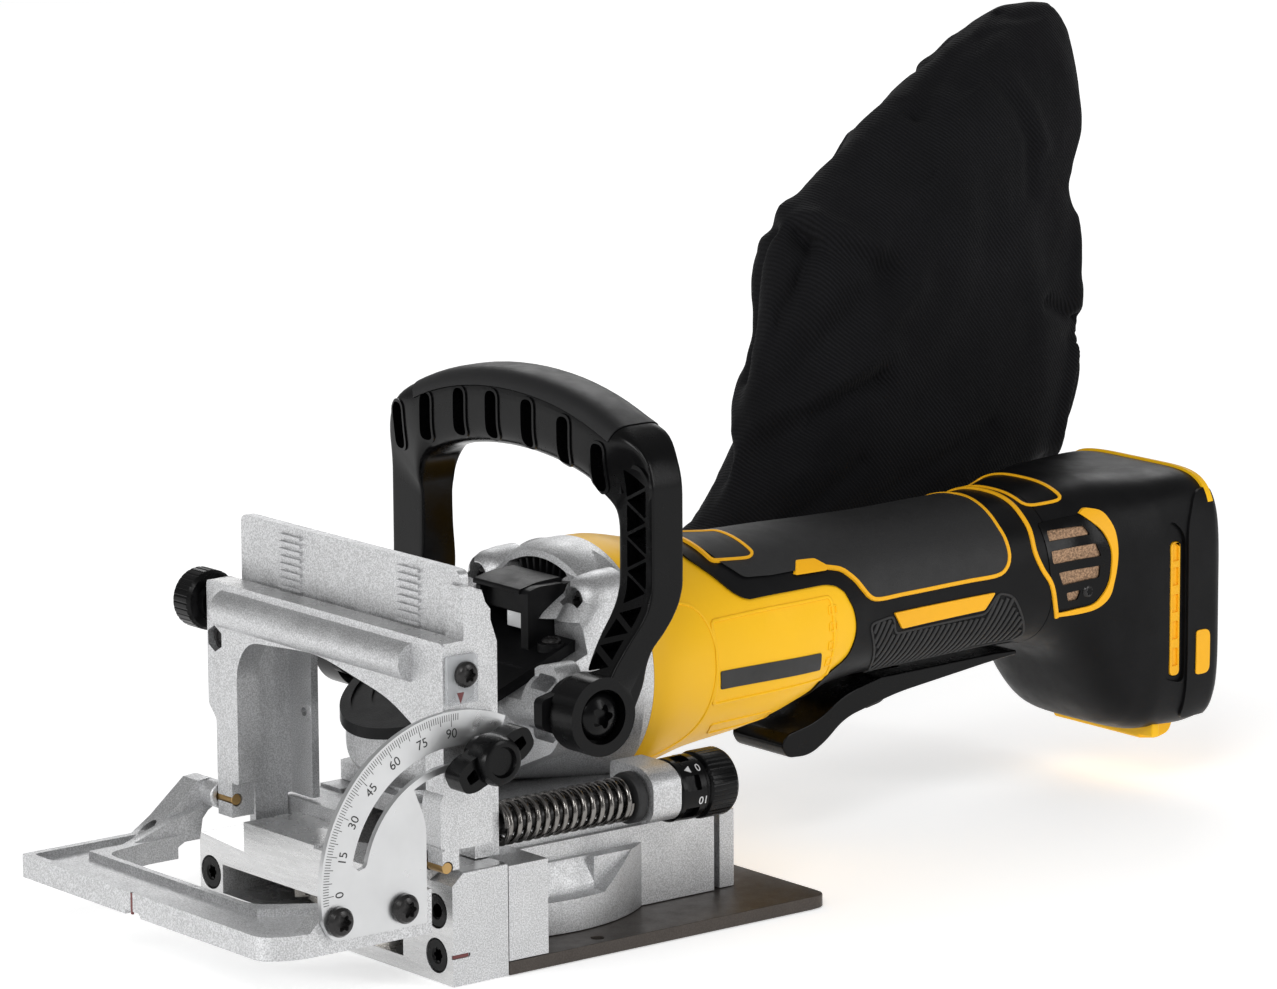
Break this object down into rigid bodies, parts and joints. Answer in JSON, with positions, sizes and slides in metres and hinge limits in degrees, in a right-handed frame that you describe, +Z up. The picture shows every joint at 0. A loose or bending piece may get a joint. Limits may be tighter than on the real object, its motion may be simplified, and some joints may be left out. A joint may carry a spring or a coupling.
{
  "type": "biscuit joiner",
  "caption": "Cordless biscuit joiner: tilting fence with a protractor on a height slide, plunging motor on a flat cast base, arched front handle, long grip with paddle switch, side dust bag.",
  "frame": {"origin": "on the underside of the shoe plate, straight below the cutter spindle's axis with the carriage back at rest", "axes": "+X to the operator's left, the side with the protractor and the depth stop; -Y forward, the way the cutter plunges; +Z up"},
  "size_m": [0.1986, 0.484, 0.279],
  "materials": {
    "cast_aluminium": "satin",
    "bright_steel": "satin",
    "anodised_shoe": "matte",
    "yellow_plastic": "satin",
    "black_plastic": "matte",
    "black_rubber": "matte",
    "bag_fabric": "matte",
    "brass_pin": "satin",
    "clear_plastic": "polished"
  },
  "bodies": {
    "base": {"shoe_plate": "anodised_shoe", "face_block": "cast_aluminium", "base_casting": "cast_aluminium", "upright_bracket": "cast_aluminium", "anti_slip_pin_upper": "black_rubber", "anti_slip_pin_lower": "black_rubber", "anti_slip_pin_far": "black_rubber", "depth_stop_rod": "bright_steel", "plunge_spring": "bright_steel", "dust_port": "black_plastic", "bag_collar": "black_plastic", "dust_bag": "bag_fabric"},
    "height_slide_body": {"slide_frame": "cast_aluminium", "angle_pointer": "clear_plastic", "pointer_screw": "bright_steel", "tilt_stud": "bright_steel", "hinge_pin_left": "brass_pin", "hinge_pin_right": "brass_pin"},
    "height_knob_body": {"pinion_shaft": "bright_steel", "height_knob": "black_plastic"},
    "fence_body": {"fence_flap": "cast_aluminium", "protractor_plate": "cast_aluminium", "scale_screw_front": "bright_steel", "scale_screw_rear": "bright_steel"},
    "tilt_lock_body": {"tilt_lock_knob": "black_plastic"},
    "carriage_body": {"carriage_plate": "cast_aluminium", "gearcase": "cast_aluminium", "chip_deflector": "black_plastic", "motor_case": "yellow_plastic", "case_cover": "black_rubber", "grip_shell_left": "black_rubber", "grip_shell_right": "black_rubber", "battery_foot": "black_plastic", "foot_trim": "yellow_plastic", "battery_rail_liner": "yellow_plastic", "terminal_block": "black_plastic", "vent_cover_left": "black_plastic", "vent_cover_right": "black_plastic", "handle_washer_left": "black_plastic", "handle_washer_right": "black_plastic", "handle_screw_left": "bright_steel", "handle_screw_right": "bright_steel", "spring_bumper": "black_rubber", "stator": "bright_steel", "front_bearing": "bright_steel", "rear_bearing": "bright_steel", "spindle_bearing": "bright_steel"},
    "handle_body": {"handle_frame": "black_plastic", "handle_pad": "black_rubber"},
    "paddle_body": {"paddle_switch": "black_plastic"},
    "lock_off_body": {"lock_off_lever": "black_plastic"},
    "turret_body": {"depth_turret": "black_plastic"},
    "rotor_body": {"rotor": "bright_steel", "cooling_fan": "black_plastic", "bevel_pinion": "bright_steel"},
    "spindle_body": {"spindle": "bright_steel", "bevel_gear": "bright_steel", "blade": "bright_steel", "blade_flange": "bright_steel", "blade_nut": "bright_steel"}
  },
  "joints": [
    {"name": "height_slide", "type": "slide", "parent": "base", "child": "height_slide_body", "axis": [0, 0, 1], "range_m": [0, 0.026]},
    {"name": "height_knob_turn", "type": "hinge", "parent": "height_slide_body", "child": "height_knob_body", "pos_m": [0, -0.0516, 0.106], "axis": [1, 0, 0], "range_deg": [-470, 5]},
    {"name": "fence_tilt", "type": "hinge", "parent": "height_slide_body", "child": "fence_body", "pos_m": [0, -0.055, 0.04], "axis": [-1, 0, 0], "range_deg": [0, 90]},
    {"name": "tilt_lock_turn", "type": "hinge", "parent": "height_slide_body", "child": "tilt_lock_body", "pos_m": [0.09, -0.04569, 0.07736], "axis": [1, 0, 0], "range_deg": [-120, 0]},
    {"name": "plunge", "type": "slide", "parent": "base", "child": "carriage_body", "axis": [0, -1, 0], "range_m": [0, 0.02], "stiffness_N_per_m": 900, "springref_m": -0.012, "deforming": ["plunge_spring"]},
    {"name": "handle_tilt", "type": "hinge", "parent": "carriage_body", "child": "handle_body", "pos_m": [0, 0.014, 0.079], "axis": [1, 0, 0], "range_deg": [-20, 10]},
    {"name": "paddle_press", "type": "hinge", "parent": "carriage_body", "child": "paddle_body", "pos_m": [0, 0.2495, 0.0568], "axis": [-1, 0, 0], "range_deg": [0, 1.8], "stiffness_Nm_per_rad": 3, "springref_deg": -3.44},
    {"name": "lock_off_swing", "type": "hinge", "parent": "paddle_body", "child": "lock_off_body", "pos_m": [0, 0.197, 0.056], "axis": [-1, 0, 0], "range_deg": [0, 12], "stiffness_Nm_per_rad": 0.02, "springref_deg": -11.46},
    {"name": "depth_turret_turn", "type": "hinge", "parent": "carriage_body", "child": "turret_body", "pos_m": [0.065, 0.06, 0.0475], "axis": [0, 1, 0], "continuous": true},
    {"name": "spindle_spin", "type": "hinge", "parent": "carriage_body", "child": "spindle_body", "pos_m": [0, 0, 0.04], "axis": [0, 0, 1], "continuous": true},
    {"name": "rotor_spin", "type": "hinge", "parent": "carriage_body", "child": "rotor_body", "pos_m": [0, 0.1, 0.08], "axis": [0, 1, 0], "continuous": true}
  ],
  "couplings": [
    {"joint": "height_knob_turn", "follows": "height_slide", "rad_per_m": -312.5},
    {"joint": "rotor_spin", "follows": "spindle_spin", "ratio": 3.3636}
  ]
}
